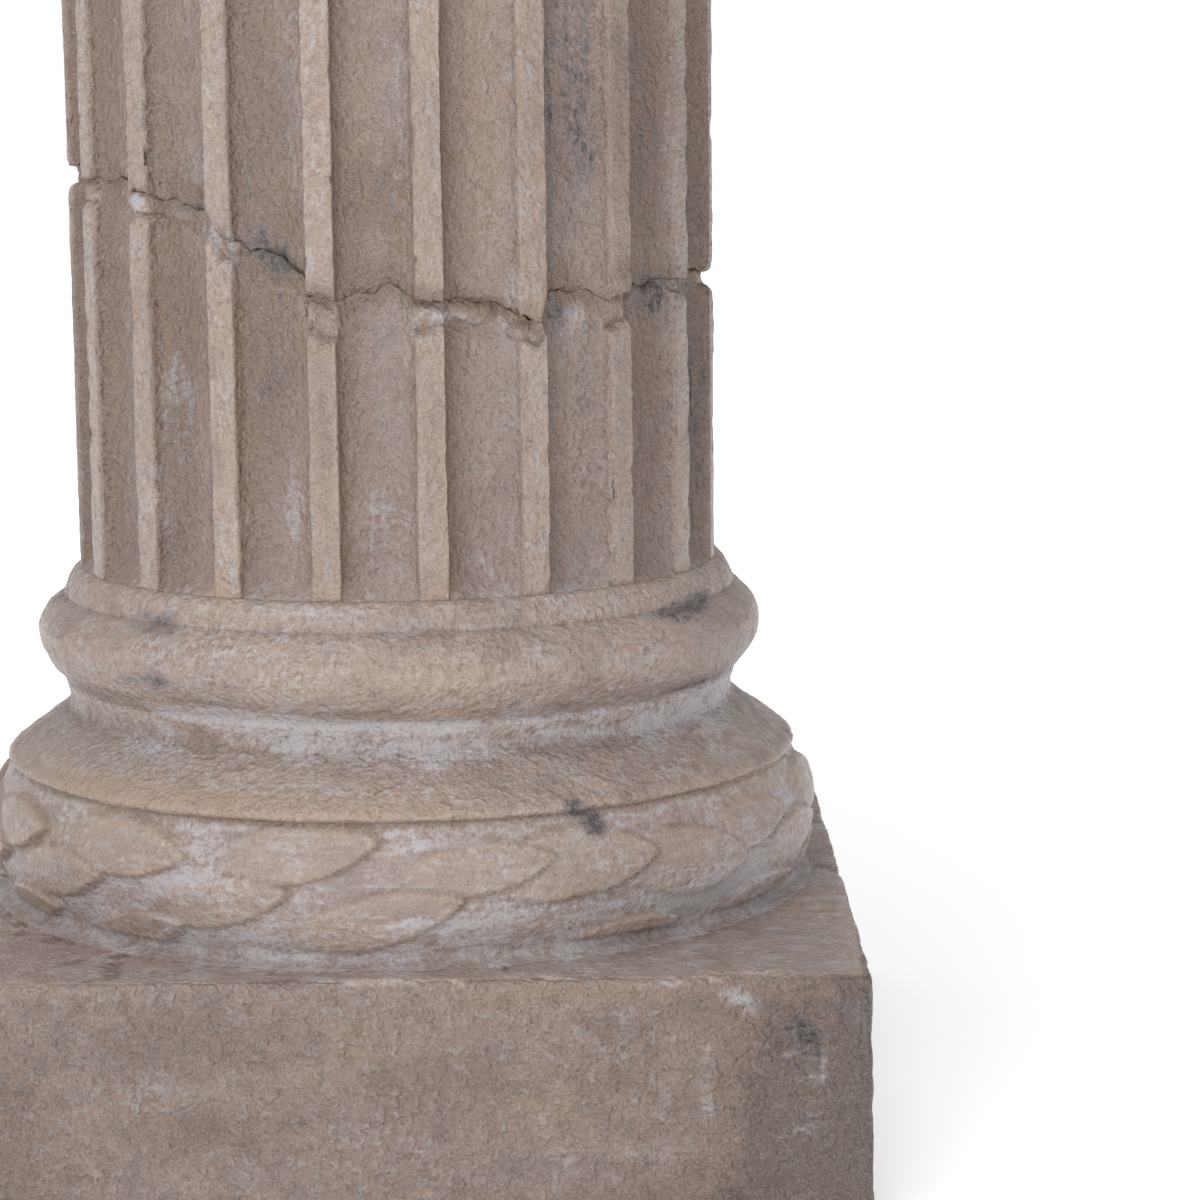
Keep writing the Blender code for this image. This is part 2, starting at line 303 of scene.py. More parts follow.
# %% [markdown]
# The laurel. The large roll is wrapped in long leaves that lie over each other like tiles, with every tip
# pointing the same way. A leaf is a pointed oval on the unrolled surface: its edge swells and closes as a
# power of a parabola, sharper at the tip than at the root, and its top rises from the root, hidden under
# the leaf before it, to the tip. Where leaves overlap, the higher one shows, which makes the small steps
# at their lower edges. One third of the roll is listed, and repeats three times.

# %% Leaves on the large roll
LEAF_SECTORS = 3
LEAF_RELIEF = 0.0042
LEAF_EDGE = 0.0015
LEAF_POINT, LEAF_SLOPE, LEAF_CROWN = 0.82, 0.62, 0.18
CREASE_DEPTH, CREASE_WIDTH = 0.10, 0.0012
FULL_STEP = 0.0007
LEAVES = (
    # tip angle in degrees, tip height in mm, climb in degrees, length and half width in mm
    (-26.2, 16.6, 16, 70, 11), (-25.9, 44.3, 0, 75, 12.5), (-11.4, 32.8, 11, 70, 11),
    (0.3, 53.7, 9, 78, 12.5), (11, 29.5, 14, 80, 12), (22.9, 44.3, 6, 70, 11), (29, 31, 0, 45, 6),
    (37.9, 41, 1, 75, 14.5), (42.6, 9.5, 8, 70, 9.5), (54.9, 29.4, -6, 75, 15), (67, 45, 5, 72, 11.5),
    (70, 13, 9, 70, 10), (80.5, 32, 6, 70, 11.5),
)
ROLL_TOP, ROLL_FOOT, ROLL_RADIUS = 0.0583, 0.0060, 0.187


def laurel(angle, height):
    """How far the leaves stand out at arrays of angle (degrees) and height: the highest of the pointed
    ovals, each with a crisp edge, a slight crown across and a fine crease along its middle."""
    relief = np.zeros(angle.shape)
    for sector in range(LEAF_SECTORS):
        for tip, tip_height, climb, length, half_width in LEAVES:
            x = arc(tip + sector * 360 / LEAF_SECTORS, angle, ROLL_RADIUS)
            y = height - tip_height * MM
            turn = math.radians(climb)
            behind = x * math.cos(turn) - y * math.sin(turn)
            across = x * math.sin(turn) + y * math.cos(turn)
            share = np.clip(behind / (length * MM), 0, 1)
            fullness = np.where(share < 0.5, LEAF_POINT, 0.5)
            edge = half_width * MM * np.clip(1 - (1 - share / 0.5) ** 2, 0, 1) ** fullness
            body = smooth(0, LEAF_EDGE, edge - np.abs(across)) * (behind > 0) * (behind < length * MM)
            crease = CREASE_DEPTH * np.exp(-((across / CREASE_WIDTH) ** 2))
            crown = 1 - LEAF_CROWN * (across / (half_width * MM)) ** 2 - crease
            slope = (1 - LEAF_SLOPE * share) * smooth(1, 0.72, share)
            relief = np.maximum(relief, LEAF_RELIEF * body * crown * slope)
    return relief


def below_steps(relief):
    """Fine lines along the foot of a relief's steps: how far the mean of the four neighbours stands above
    a point, as a share of the full step."""
    return np.clip((mean_around(relief, 1) - relief) / FULL_STEP, 0, 1)


# %% [markdown]
# Where round meets square. The base is one casting, so its skin runs on from the foot of the large roll
# over the plinth's top, down its sides and underneath. Each column leaves the circle and heads for its
# own point on the square, evenly spaced along the sides. The edges are worn by a standard trick: pull
# every point back to a smaller box and push it out again by the wear in a straight line, which rounds
# edges and corners and leaves the flats alone. Noise makes that wear uneven, and so chips the edges.

# %% Round mouldings that run into a square block
BASE_COLUMNS = 600
FINISH_ROOM = 0.0008
SEAT_GAP = 0.00002
END_FADE = 0.004
LEAST_WEAR, MORE_WEAR, WEAR_SIZE = 0.0030, 0.0034, 0.022


def round_path(columns):
    """Angles of the columns in radians, and the unit circle and the unit square's edge at them. On the
    square a column's place along its side grows evenly with the angle."""
    turn = np.arange(columns) * 2 * np.pi / columns
    side = np.floor(np.degrees(turn) / 90 + 0.5)
    middle = side * np.pi / 2
    along = (turn - middle) / (np.pi / 4)
    circle = np.stack([np.sin(turn), -np.cos(turn)], axis=-1)
    square_x = np.sin(middle) + along * np.cos(middle)
    square_y = -np.cos(middle) + along * np.sin(middle)
    square = np.stack([square_x, square_y], axis=-1)
    return turn, circle, square


def on_circle(circle, radius, height):
    """A grid of points on a circle's directions, at (rows, columns) of radii and heights."""
    return np.dstack([radius * circle[:, 0], radius * circle[:, 1], height + 0 * radius])


def level(path, height):
    """A row of points at one height over a path of (x, y) points."""
    return np.column_stack([path, np.full(len(path), height)])


def worn_block(points, half, low, high, shift):
    """Rounds a square block's edges: each point is clipped to the block less wear, then pushed out by
    wear. Noise, which shift picks, makes the wear uneven."""
    wear = LEAST_WEAR + MORE_WEAR * smooth(0.0, 0.9, lumps(points, WEAR_SIZE, 2, shift))
    inner = np.stack([
        np.clip(points[..., 0], wear - half, half - wear),
        np.clip(points[..., 1], wear - half, half - wear),
        np.clip(points[..., 2], low + wear, high - wear),
    ], axis=-1)
    out = points - inner
    return inner + out / np.maximum(np.linalg.norm(out, axis=-1, keepdims=True), 1e-9) * wear[..., None]


# %% Shape the base
CHIPS = (
    # Dents in the plinth's front, in mm: x, height, radius, depth
    (168, 79, 12.5, 2.8), (171.2, 77.5, 5.5, 1.8), (179, 66, 8, 1.2), (152, 14, 15, 2.2),
    (-70, 45, 11, 1),
)
turn, circle, square = round_path(BASE_COLUMNS)
degrees = np.degrees(turn)
leaf_height = base_outline[:, 1:] + 0 * degrees
on_roll = (leaf_height < ROLL_TOP) & (leaf_height > ROLL_FOOT)
leaves = laurel(0 * leaf_height + degrees, leaf_height) * on_roll
turned = on_circle(circle, base_outline[:, :1] + leaves, PLINTH_HEIGHT + base_outline[:, 1:])
foot = circle * base_outline[-1, 0]
rim = square * PLINTH_HALF
ledge = [level(foot + (rim - foot) * share, PLINTH_HEIGHT) for share in np.linspace(0.03, 1, 13) ** 1.15]
sides = [level(rim, height) for height in np.linspace(PLINTH_HEIGHT, 0, 33)[1:]]
under = [level(rim * share, 0.0) for share in (0.985, 0.96, 0.8)]
block = worn_block(np.stack(ledge + sides + under), PLINTH_HALF - FINISH_ROOM, 0.0, PLINTH_HEIGHT, 3.0)
base_grid = np.concatenate([turned, block])
on_block = (np.arange(len(base_grid)) >= len(turned))[:, None]
near_floor = smooth(0.0, END_FADE, base_grid[..., 2])
on_laurel = (base_grid[..., 2] < PLINTH_HEIGHT + ROLL_TOP) & ~on_block
relief = dappled(base_grid, 0.0) * (1 + 0.35 * on_block - 0.60 * on_laurel) * near_floor
front = smooth(0.15, 0.19, -base_grid[..., 1])
for x, height, size, depth in np.array(CHIPS) * MM:
    away = np.hypot(base_grid[..., 0] - x, base_grid[..., 2] - height) / size
    relief = relief - depth * front * np.exp(-(away**4)) * (1 + 0.5 * lumps(base_grid, 0.006, 2, 9.0))
relief = np.where(base_grid[..., 2] > SHAFT_FOOT - 0.0004, 0.0, relief)
relief = np.where(on_block, np.minimum(relief, FINISH_ROOM), relief)
base_grid = base_grid + relief[..., None] * outward(base_grid)
base_top = SHAFT_FOOT - SEAT_GAP
base_grid = np.clip(base_grid, (-PLINTH_HALF, -PLINTH_HALF, 0.0), (PLINTH_HALF, PLINTH_HALF, base_top))
print("the base's rows:", len(turned), "turned and", len(block), "on the block")

# %% [markdown]
# Paint is laid on by place. Each piece carries a few numbers at every point: how hollow it is, how much
# it is a raised fillet or band, how coarse its finish is, and how much soot, pale bloom, ochre and grime
# lie there. Part of the pale bloom is painted light, and part of the grime is painted shade. The material
# only has to mix its colours by them. The places are read off the photograph as angles and heights.

# %% Where the base is stained, and where light and shade are painted
BASE_SOOT = (
    # angle in degrees, height above the plinth, half width and half height in mm, strength in percent
    (56, 132.5, 18, 4, 95), (62, 135, 14, 3, 60), (-40, 134, 18, 6, 55), (-38, 112, 22, 5, 50),
    (26.6, 62, 4, 4, 100), (29, 55.5, 5, 6, 90), (34.5, 63, 4, 3, 70), (38, 70, 12, 5, 35),
    (24, 70, 8, 5, 45), (-30, 104, 30, 3, 45), (58, 98.5, 22, 2, 80), (34, 80, 30, 6, 35),
    (31.1, 118, 4, 3, 70), (75, 120, 30, 20, 35), (57, 116, 28, 14, 30), (26, 30, 12, 6, 25),
    (150, 125, 30, 12, 70), (-120, 80, 30, 10, 60), (200, 40, 25, 12, 60), (-80, 135, 20, 8, 50),
)
# Pale bloom on the mouldings; the broad spots on the right of the roll and neck are painted light that lifts
# their shade
BASE_BLOOM_AND_LIGHT = (
    (62, 30, 60, 28, 35), (-30, 15, 60, 10, 30), (-20, 96.5, 40, 2.5, 95), (-29, 100, 30, 2.5, 80),
    (0, 95, 50, 3, 65), (-3, 86, 50, 6, 60), (8, 80, 30, 5, 40), (49, 19, 24, 8, 75),
    (-27, 33, 20, 6, 70), (7, 19, 24, 5, 60), (-40, 80, 20, 3, 50), (-12, 142, 20, 2, 50),
    (45, 86, 40, 6, 45), (66, 86, 50, 14, 60), (125, 90, 60, 8, 60), (-150, 90, 60, 6, 60),
    (180, 140, 40, 4, 50),
)
BASE_OCHRE = (
    (-20, 65, 70, 4, 95), (-38, 65, 40, 5, 90), (2, 64, 30, 3.5, 35), (44, 62, 30, 5, 30),
    (62, 56, 40, 8, 60), (-36, 99, 20, 6, 70), (10, 115, 60, 10, 45), (160, 64, 90, 4, 80),
    (-100, 64, 60, 4, 80),
)
FRONT_SOOT = (
    # On the plinth's front: x, height, half width and half height in mm, strength in percent
    (168.8, 81, 5.6, 6.2, 160), (174.8, 73.7, 4.6, 6, 140), (194, 80, 10, 20, 22), (185, 93, 12, 6, 32),
    (180, 50, 12, 14, 28), (150, 97, 16, 4, 20), (193, 25, 12, 26, 15), (156, 87, 6, 7, 30),
    (-90, 48, 24, 8, 20), (-160, 60, 16, 20, 35),
)
FRONT_BLOOM = (
    (144, 96, 10, 4, 90), (149, 89, 5, 5, 80), (179.2, 69, 2.5, 8, 90), (174, 61.5, 7, 1.8, 70),
    (166, 72.2, 6, 1.6, 80), (133, 74, 4, 10, 60), (131.6, 51.6, 3, 10, 70), (116.5, 101, 6, 2, 90),
    (100.4, 88, 4, 6, 55), (64.2, 45.6, 4, 8, 50), (112.5, 31.5, 24, 7, 60), (173, 45, 10, 10, 45),
    (182.9, 96, 4, 3, 90), (193, 88, 3, 7, 60), (116, 60, 4, 10, 55), (88, 64, 8, 6, 50),
    (76, 30, 10, 8, 45), (98, 74, 10, 4, 50), (-90, 56, 30, 14, 35), (30, 35, 30, 8, 30),
    (-60, 88, 30, 6, 30), (80, 80, 10, 10, 30), (50, 20, 40, 6, 30),
)
FRONT_OCHRE = (
    (150, 60, 18, 16, 35), (129, 80, 20, 10, 45), (70, 98, 80, 5, 60), (180, 98, 20, 4, 50),
    (60, 50, 50, 20, 40), (-30, 70, 50, 16, 35), (20, 86, 60, 8, 35), (100, 30, 30, 12, 30),
)
# Grime and painted shade on the plinth's front: the large spots towards its right end are painted shade
FRONT_GRIME_AND_SHADE = (
    (190, 55, 34, 60, 150), (165, 20, 40, 26, 60), (152, 60, 16, 18, 55), (148, 92, 30, 8, 40),
    (100, 70, 20, 20, 20), (-80, 80, 30, 12, 35), (-70, 42, 30, 8, 35), (20, 60, 30, 12, 20),
    (-170, 40, 30, 40, 50), (130, 10, 60, 8, 40),
)
BLOCK_BLOOM = 0.64


def flat_places(x, height, spots):
    """Soft oval spots on a flat front, as places gives them on the round."""
    total = 0.0
    for spot_x, spot_height, half_width, half_height, strength in spots:
        across = x - spot_x * MM
        up = height - spot_height * MM
        total = total + strength / 100 * bell(across / (half_width * MM), up / (half_height * MM))
    return np.clip(total, 0, 1)


def four_sides(grid, half, spots):
    """The front's spots on all four sides of a block, each side turned a quarter and the next one
    mirrored."""
    total = 0.0
    for quarter in range(4):
        turn_by = quarter * np.pi / 2
        x = grid[..., 0] * math.cos(turn_by) + grid[..., 1] * math.sin(turn_by)
        out = grid[..., 0] * math.sin(turn_by) - grid[..., 1] * math.cos(turn_by)
        near_side = smooth(half - 0.02, half - 0.006, out)
        total = total + near_side * flat_places(x * (-1) ** quarter, grid[..., 2], spots)
    return total


def spot_amounts(where, round_spots, front_spots, front_share=1.0):
    """One paint's amounts on a piece that is part round and part square block: its spots on the
    mouldings, and by a share its spots on the block's four sides."""
    on_round, angle, height, on_flat, grid, half = where
    on_sides = four_sides(grid, half, front_spots)
    return on_round * places(angle, height, round_spots) + front_share * on_flat * on_sides


# %% [markdown]
# Pale paint has also settled all the way round: in the hollow neck and its lines, at the foot of the
# large roll and on the plinth's ledge, where a brush can't rub it off, and there it lifts the shade as
# painted light too.
# Painted shade darkens the undersides in level bands, with a painted shadow line over the laurel.

# %% Level bands of pale paint and painted light, and of painted shade
PALE_BANDS = (
    # height above the plinth and half height in mm, strength in percent
    (94.9, 1.8, 100), (88, 6.5, 55), (133.8, 1.2, 30), (6, 7, 50), (145.5, 1.4, 50),
)
SHADOW_BANDS = (
    # Painted shade on the undersides, and a painted shadow line over the laurel
    (100.5, 4, 55), (59.7, 1, 80), (12, 4, 25), (76, 5, 20), (140, 6, 12), (65, 3, 22),
)


def bands(height, grid, levels, steady, uneven, size, layers, shift):
    """Level bands, each a bell curve in height, broken along their length by noise: a steady share of
    them stays, and the noise adds or takes an uneven share."""
    broken = np.clip(steady + uneven * lumps(grid, size, layers, shift), 0, 1)
    total = sum(strength / 100 * bell(0, (height - at * MM) / (half * MM)) for at, half, strength in levels)
    return broken * np.clip(total, 0, 1)


# %% Make the base
height_above = base_grid[..., 2] - PLINTH_HEIGHT
on_side = on_block & (height_above < -0.001)
base_place = (~on_block, degrees + 0 * height_above, height_above, on_block, base_grid, PLINTH_HALF)
sunken = hollowness(base_grid, 2, 0.0009)
no_leaves = 0 * block[..., 0]
on_leaf = np.concatenate([smooth(0.0, 0.0016, leaves), no_leaves])
# Painted shadow lines along the foot of the leaves' lower edges, laid on in brown and in ochre
leaf_shadow_lines = np.concatenate([below_steps(leaves), no_leaves])
between_leaves = on_laurel * (1 - on_leaf)
pale = bands(height_above, base_grid, PALE_BANDS, 0.62, 0.9, 0.034, 3, 61.0)
banded_shade = bands(height_above, base_grid, SHADOW_BANDS, 0.80, 0.6, 0.024, 2, 71.0)
kept_dark = near_floor * (1 - 0.8 * pale) * smooth(-0.0004, -0.0030, base_grid[..., 2] - SHAFT_FOOT)
base_paints = {
    "hollow": np.clip(sunken * (1 - 0.6 * on_laurel) + leaf_shadow_lines, 0, 1) * kept_dark,
    "raised": np.clip(-sunken, 0, 1) + 0.45 * ~on_block * (1 - between_leaves),
    "soot": spot_amounts(base_place, BASE_SOOT, FRONT_SOOT),
    # Pale paint between the leaves, in level bands and in spots; in the bands and on the right of the neck
    # and roll it is painted light too
    "bloom_and_painted_light": 0.28 * between_leaves + 0.6 * pale + spot_amounts(base_place, BASE_BLOOM_AND_LIGHT, FRONT_BLOOM, BLOCK_BLOOM),
    "ochre": 0.6 * leaf_shadow_lines + spot_amounts(base_place, BASE_OCHRE, FRONT_OCHRE),
    # Darker all over the plinth's sides, with the front's grime and painted shade, and painted shade in
    # level bands on the mouldings
    "grime_and_shade": on_side * (0.58 + four_sides(base_grid, PLINTH_HALF, FRONT_GRIME_AND_SHADE)) + ~on_block * banded_shade,
    "coarse": np.where(on_block, np.where(on_side, 1.0, 0.3), np.where(on_laurel, 0.1, 0.5)),
}
base = skin("base_casting", base_grid, (0, 0, base_top), (0, 0, 0), base_paints)
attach(base, "root")
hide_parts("base")

# %% [markdown]
# The fluted shaft. Twenty flutes leave narrow flat fillets between them. Across, a flute is a squashed
# ellipse: its walls drop steeply from the fillets and its floor is nearly flat. A fixed number of columns
# serves each flute and its fillet, and they crowd together at the fillet's edges, where the surface turns
# fastest.

# %% The fluted section
FLUTES = 20
FILLET_WIDTH = 0.0120
FLUTE_DEPTH = 0.0095
FLUTE_SQUASH = 0.35
EDGE_WANDER = 0.0001
COLUMN_PLACES = (
    # Columns from a fillet's middle to the next flute's middle, in mm along the shaft's circle
    2.2, 4.3, 5.4, 5.9, 6.2, 6.6, 7.2, 8.1, 9.4, 11.2, 13.4, 16.1, 19.2,
)
PITCH = 2 * math.pi * SHAFT_RADIUS / FLUTES
HALF_FLUTE = (PITCH - FILLET_WIDTH) / 2

one_side = np.array(COLUMN_PLACES) * MM
one_pitch = np.concatenate([-one_side[::-1], [0.0], one_side, [PITCH / 2]])
fillet_middles = (np.arange(FLUTES) + 0.5) * PITCH
off_fillet = np.tile(np.abs(one_pitch), FLUTES)
shaft_turn = (fillet_middles[:, None] + one_pitch).ravel() / SHAFT_RADIUS
shaft_degrees = np.degrees(shaft_turn)
shaft_circle = np.stack([np.sin(shaft_turn), -np.cos(shaft_turn)], axis=-1)
SHAFT_COLUMNS = len(shaft_turn)


def around(radius, height=0.0):
    """Points of the shaft at radii and heights, for the mesh and for noise that runs on round the
    pillar."""
    return on_circle(shaft_circle, radius, height)


def flute_depth(off):
    """Depth of the flutes at distances from a fillet's middle: (1 - x^2)^squash, where x runs from 1 at
    the fillet's edge to 0 in the flute's middle."""
    x = 1 - np.clip((off - FILLET_WIDTH / 2) / HALF_FLUTE, 0, 1)
    return FLUTE_DEPTH * np.clip(1 - x**2, 0, 1) ** FLUTE_SQUASH


fluting = flute_depth(off_fillet)
on_fillet = smooth(0.0035, 0.0012, fluting)
print(f"{SHAFT_COLUMNS} columns round the shaft, flutes {float(fluting.max()) / MM:.1f} mm deep")

# %% [markdown]
# The break. It climbs to the left and dips at the right of the front, and it jumps where a fillet kept
# its end. Both lengths of the shaft use the same course, so they fit. The upper length ends in a sharp,
# ragged lip. The lower one is worn back to a sloping ledge, deeper on some sides than others, where
# mortar and dirt have filled the joint.

# %% The course of the break
BREAK_COURSE = (
    # degrees, height above the shaft's foot in mm
    (-150, 180), (-115, 188), (-80, 177), (-54, 172.2), (-48, 170), (-42.6, 167.2), (-41, 164.8),
    (-34.4, 163), (-30, 161.2), (-28.6, 158), (-26.8, 150), (-24.6, 147.4), (-21, 145.2), (-16, 140.5),
    (-12.4, 135), (-11.4, 125.6), (-7, 124.8), (-3, 125.6), (1, 128.6), (4, 127.8), (6.4, 124.4),
    (11.6, 121.4), (14, 122.8), (17.5, 124), (20.5, 122.6), (23, 118.2), (28.6, 115.2), (29.6, 124),
    (34, 125.8), (40.1, 124.6), (42, 122.6), (46.6, 124.2), (50, 126.8), (59.2, 126.2), (66.4, 128.4),
    (73.5, 129.2), (86, 130), (112, 133), (140, 150), (168, 173),
)
LEDGE_COURSE = (
    # degrees, how far under the break the worn heads start, in mm
    (-135, 13), (-99, 9), (-63, 10), (-45, 12), (-27, 7.5), (-9, 14.5), (9, 12), (27, 9.5), (45, 13),
    (63, 5), (81, 8), (117, 12), (150, 11),
)
LEDGE_DEPTH = 0.0052
FLOOR_WEAR = 0.0010
HEAD_ROUND = 0.0045
LIP_WEAR = 0.0016
BREAK_TOOTH = 0.0016
JOINT_GAP = 0.00004


def round_course(course, at):
    """A course given at some angles round the pillar, joined by straight stretches, at any angle."""
    course = np.array(course) * (1, MM)
    course = np.vstack([course[-1] - (360, 0), course, course[0] + (360, 0)])
    return np.interp((at + 180) % 360 - 180, course[:, 0], course[:, 1])


girth = around(np.full((1, SHAFT_COLUMNS), SHAFT_RADIUS))[0]
teeth = BREAK_TOOTH * (lumps(girth, 0.009, 2, 5.0) + 0.8 * lumps(girth, 0.0036, 2, 8.0))
crack = SHAFT_FOOT + round_course(BREAK_COURSE, shaft_degrees) + teeth
ledge_height = round_course(LEDGE_COURSE, shaft_degrees) * (1 + 0.20 * lumps(girth, 0.010, 2, 2.0))
crack_middle = float(crack.mean())
CORE_SHARES = (0.985, 0.965, 0.94, 0.90, 0.84, 0.70, 0.50)
print("the break runs from", round(float(crack.min()), 3), "to", round(float(crack.max()), 3))

# %% [markdown]
# Under the break every fillet has lost its end. The joint was packed with mortar there, so a shallow band
# runs round the shaft, nearly as deep as the flutes, and each lower fillet starts again with a rounded
# head. Lumps of mortar stand out of the band: each is a dome, the square root of one less the squared
# distance from its middle, whose outline is made uneven by noise.

# %% Mortar in the joint
MORTAR = (
    # degrees, then in mm: height above the plinth, half width, half height, how far it stands out (or in)
    (-45.5, 310, 10, 5.8, 4.2), (-36, 306.5, 11, 5.2, 1.6), (-24.4, 294.5, 5.2, 5.6, 3.4),
    (-16, 284, 10, 6.2, 1.8), (-8, 264, 6, 4.5, 1.2), (9, 263, 6, 5, 1.4), (17.5, 264, 11.2, 5, 4.6),
    (24.6, 262, 6, 4.5, 3), (36.5, 260, 10, 9, 2.2), (43.5, 264, 6, 6, 2.6), (55, 266, 11, 6, 3.6),
    (62, 264, 5, 5, 2.2), (70.5, 274.5, 4, 3, -5), (88, 270, 8, 6, 2), (115, 272, 12, 6, 3.6),
    (142, 288, 11, 6, 3), (171, 308, 12, 7, 3.4), (-155, 316, 10, 6, 4), (-126, 324, 12, 6, 3),
    (-90, 317, 11, 6, 3.6), (-66, 313, 10, 6, 3),
)


def mortar(height):
    """How far the lumps of mortar stand out at rows of heights round the shaft."""
    ragged = 0.40 * lumps(around(SHAFT_RADIUS + 0 * height, height), 0.006, 2, 23.0)
    out = 0.0
    for angle, middle, half_width, half_height, proud in MORTAR:
        across = arc(shaft_degrees, angle, SHAFT_RADIUS) / (half_width * MM)
        up = (height - PLINTH_HEIGHT - middle * MM) / (half_height * MM)
        dome = np.sqrt(np.clip(1 - (across**2 + up**2) * (1 + ragged), 0, 1))
        out = out + proud * MM * dome
    return out


# %% [markdown]
# Both lengths are grids whose rows follow the break at one end and a level circle at the other. Near the
# break the rows crowd together. The break's own face goes inwards over a few rows, just far enough that
# no gap shows, and a fan closes it. The fillets' edges wander a little and are chipped where noise says
# so.

# %% Shape the two lengths of the shaft
CHIP_SIZE, CHIP_DEPTH = 0.0100, 0.0010
FOOT_SWELL, FOOT_SWELL_HEIGHT = 0.0086, 0.0060


def fluted(height, foot_near):
    """Radius of the shaft at rows of heights: fillets less flutes, with the flutes' floors swelling out
    where they meet a ring, and chips off the fillets' edges."""
    at = around(SHAFT_RADIUS + 0 * height, height)
    depth = flute_depth(off_fillet + EDGE_WANDER * lumps(at, 0.016, 2, 51.0))
    swell = FOOT_SWELL * np.exp(-foot_near / FOOT_SWELL_HEIGHT) * smooth(0.0, FLUTE_DEPTH, depth)
    near_edge = np.exp(-(((off_fillet - FILLET_WIDTH / 2) / 0.0016) ** 2))
    chips = smooth(0.35, 0.95, lumps(at, CHIP_SIZE, 3, 20.0)) * near_edge
    return SHAFT_RADIUS - depth + swell - CHIP_DEPTH * chips


def break_rows(edge_radius, edge_height):
    """Rows that go inwards from the edge of a break to its core and level out towards the middle."""
    rows = []
    for share in CORE_SHARES:
        height = crack_middle + (edge_height - crack_middle) * (0.4 + 0.6 * share)
        rows.append(around((edge_radius * share)[None, :], height[None, :]))
    return rows


LOWER_ROWS, LEDGE_ROWS, LEDGE_REACH = 84, 34, 0.0235
UPPER_ROWS, LIP_ROWS, LIP_REACH = 150, 10, 0.0045
ledge_share = (np.arange(LEDGE_ROWS) / LEDGE_ROWS)[:, None]
body_share = 1 - np.linspace(1, 0, LOWER_ROWS)[:, None] ** 1.4
ledge_foot = crack - LEDGE_REACH
lower_heights = np.concatenate([
    crack - JOINT_GAP - LEDGE_REACH * ledge_share, ledge_foot + (SHAFT_FOOT - ledge_foot) * body_share,
])
lower_radius = fluted(lower_heights, lower_heights - SHAFT_FOOT)
below = crack - lower_heights
head_share = np.clip((below - ledge_height) / HEAD_ROUND, 0, 1)
head = 1 - np.sqrt(np.clip(1 - (1 - head_share) ** 2, 0, 1))
rough = 0.0012 * lumps(around(lower_radius, lower_heights), 0.007, 3, 14.0)
cut = SHAFT_RADIUS - lower_radius
worn = np.maximum(cut + FLOOR_WEAR, LEDGE_DEPTH) - cut + rough
in_joint = smooth(1.25, 0.85, below / ledge_height)
lower_radius = lower_radius - worn * head + mortar(lower_heights) * in_joint
lower_face = break_rows(lower_radius[0], lower_heights[0])[::-1]
lower_grid = np.concatenate(lower_face + [around(lower_radius, lower_heights)])

lip_share = (np.arange(LIP_ROWS) / LIP_ROWS)[:, None]
climb = np.linspace(0, 1, UPPER_ROWS)[:, None]
climb = 0.42 * climb + 0.58 * climb**2
lip_top = crack + JOINT_GAP + LIP_REACH
upper_heights = np.flipud(np.concatenate([
    crack + JOINT_GAP + LIP_REACH * lip_share, lip_top + (SHAFT_HEAD - lip_top) * climb,
]))
upper_radius = fluted(upper_heights, SHAFT_HEAD - upper_heights)
above_break = np.maximum(upper_heights - crack, 0)
corner = 1 + 2.0 * smooth(60, 78, np.abs(shaft_degrees - 360 * (shaft_degrees > 180)))
lip_lumps = lumps(around(upper_radius, upper_heights), 0.008, 3, 4.0)
lip = LIP_WEAR * (0.55 + 1.1 * lip_lumps) * np.exp(-above_break / 0.0021)
upper_radius = upper_radius - np.maximum(lip * corner, 0)
upper_face = break_rows(upper_radius[-1], upper_heights[-1])
upper_grid = np.concatenate([around(upper_radius, upper_heights)] + upper_face)


def weathered(grid, rows_low, rows_high, shift, low, high):
    """Moves the rows between two row numbers by the dappled finish, less at the shaft's two level
    ends."""
    relief = 0.7 * dappled(grid, shift)
    ends = smooth(0.0, END_FADE, grid[..., 2] - low) * smooth(0.0, END_FADE, high - grid[..., 2])
    relief[:rows_low] = 0.0
    relief[rows_high:] = 0.0
    return grid + (relief * ends)[..., None] * outward(grid)


face_rows = len(CORE_SHARES)
lower_grid = weathered(lower_grid, face_rows + 1, len(lower_grid), 60.0, SHAFT_FOOT, 1.0)
upper_grid = weathered(upper_grid, 0, len(upper_grid) - face_rows - 1, 80.0, 0.0, SHAFT_HEAD)
print("lower length:", lower_grid.shape, "upper length:", upper_grid.shape)

# %% Where the shaft is stained, and where shade is painted
SHAFT_SOOT = (
    # angle in degrees, height above the plinth, half width and half height in mm, strength in percent
    (-16.5, 284, 12, 7, 72), (-20, 290, 11, 7, 52), (-20, 303, 13, 12, 36), (-35.5, 307, 10, 4, 60),
    (-40.5, 272, 6, 16, 35), (39.6, 340, 8, 30, 55), (36, 350, 16, 70, 39), (41, 254, 6, 8, 50),
    (34, 262, 8, 8, 50), (66, 327, 12, 26, 75), (56, 267.5, 15, 7.5, 85), (61.5, 264, 10, 9, 80),
    (70.5, 274, 4, 3.5, 100), (74, 304, 30, 30, 50), (-15.3, 348, 8, 30, 40), (-18, 235, 13, 50, 14),
    (-36, 225, 16, 70, 12), (-38, 350, 10, 30, 25), (57.2, 213, 12, 60, 25), (54.5, 340, 14, 60, 45),
    (80, 190, 20, 60, 45), (1, 205, 12, 30, 20), (74, 220, 16, 50, 45), (31.5, 330, 4, 90, 45),
    (110, 260, 20, 30, 70), (150, 350, 16, 50, 60), (-90, 360, 20, 40, 60), (-130, 250, 20, 30, 60),
    (-160, 450, 20, 60, 50), (30, 560, 12, 40, 60), (-40, 640, 14, 50, 60), (90, 620, 20, 60, 60),
    (180, 660, 16, 50, 60), (-72, 220, 14, 60, 50), (126, 200, 14, 50, 50), (-108, 520, 14, 70, 50),
    (0, 680, 14, 60, 40),
)
